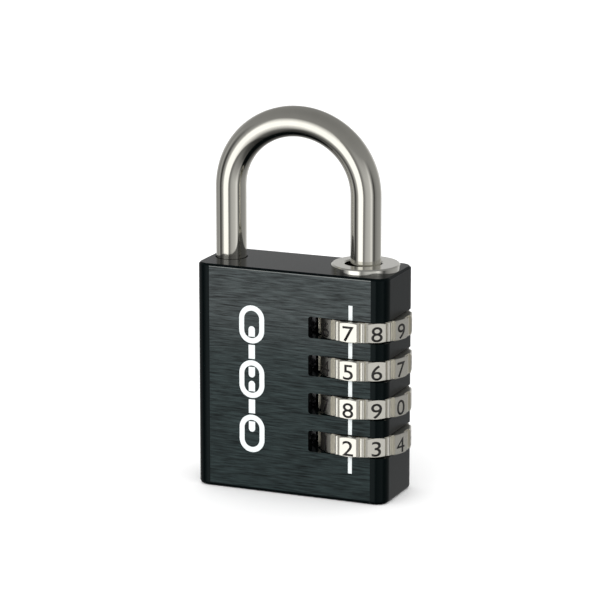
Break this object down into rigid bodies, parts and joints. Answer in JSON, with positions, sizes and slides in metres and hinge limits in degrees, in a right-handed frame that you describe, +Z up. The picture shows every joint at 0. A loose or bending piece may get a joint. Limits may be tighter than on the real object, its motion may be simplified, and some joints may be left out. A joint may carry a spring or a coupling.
{
  "type": "combination padlock",
  "caption": "Padlock with a block body, a round-wire shackle on a flanged collar, and number wheels in open slots that turn on the shackle's long leg.",
  "frame": {"origin": "centre of the body's bottom face, on the surface it stands on", "axes": "+Z up along the shackle's legs, +X to the right seen from the front, towards the wheels and the long leg; the front with the index line faces -Y"},
  "size_m": [0.0419, 0.018, 0.076],
  "materials": {
    "anodised_black": "black anodised, brushed front and back, satin elsewhere",
    "bright_nickel": "polished nickel plate on steel",
    "satin_nickel": "satin nickel plate, turned",
    "brass": "machined, unpolished",
    "spring_steel": "drawn spring steel",
    "white_paint": "printed white paint of the index line and the front mark",
    "black_paint": "black paint in the engraved digits"
  },
  "bodies": {
    "case": {"body_block": "anodised_black", "shackle_collar": "bright_nickel", "collar_pin": "bright_nickel", "base_plug": "anodised_black", "detent_plug": "anodised_black", "thrust_washer": "spring_steel", "top_spacer": "brass", "lift_spring": "spring_steel", "reset_spring": "spring_steel", "detent_strip": "spring_steel"},
    "bow": {"shackle": "bright_nickel", "spring_seat": "bright_nickel"},
    "dial_1": {"number_wheel_1": "satin_nickel", "code_sleeve_1": "brass"},
    "dial_2": {"number_wheel_2": "satin_nickel", "code_sleeve_2": "brass"},
    "dial_3": {"number_wheel_3": "satin_nickel", "code_sleeve_3": "brass"},
    "dial_4": {"number_wheel_4": "satin_nickel", "code_sleeve_4": "brass"}
  },
  "joints": [
    {"name": "shackle_lift", "type": "slide", "parent": "case", "child": "bow", "axis": [0, 0, 1], "range_m": [0, 0.0076], "deforming": ["lift_spring"]},
    {"name": "wheel_1_turn", "type": "hinge", "parent": "case", "child": "dial_1", "pos_m": [0.0128, 0, 0.0115], "axis": [0, 0, 1], "continuous": true},
    {"name": "wheel_2_turn", "type": "hinge", "parent": "case", "child": "dial_2", "pos_m": [0.0128, 0, 0.0191], "axis": [0, 0, 1], "continuous": true},
    {"name": "wheel_3_turn", "type": "hinge", "parent": "case", "child": "dial_3", "pos_m": [0.0128, 0, 0.0267], "axis": [0, 0, 1], "continuous": true},
    {"name": "wheel_4_turn", "type": "hinge", "parent": "case", "child": "dial_4", "pos_m": [0.0128, 0, 0.0343], "axis": [0, 0, 1], "continuous": true}
  ]
}
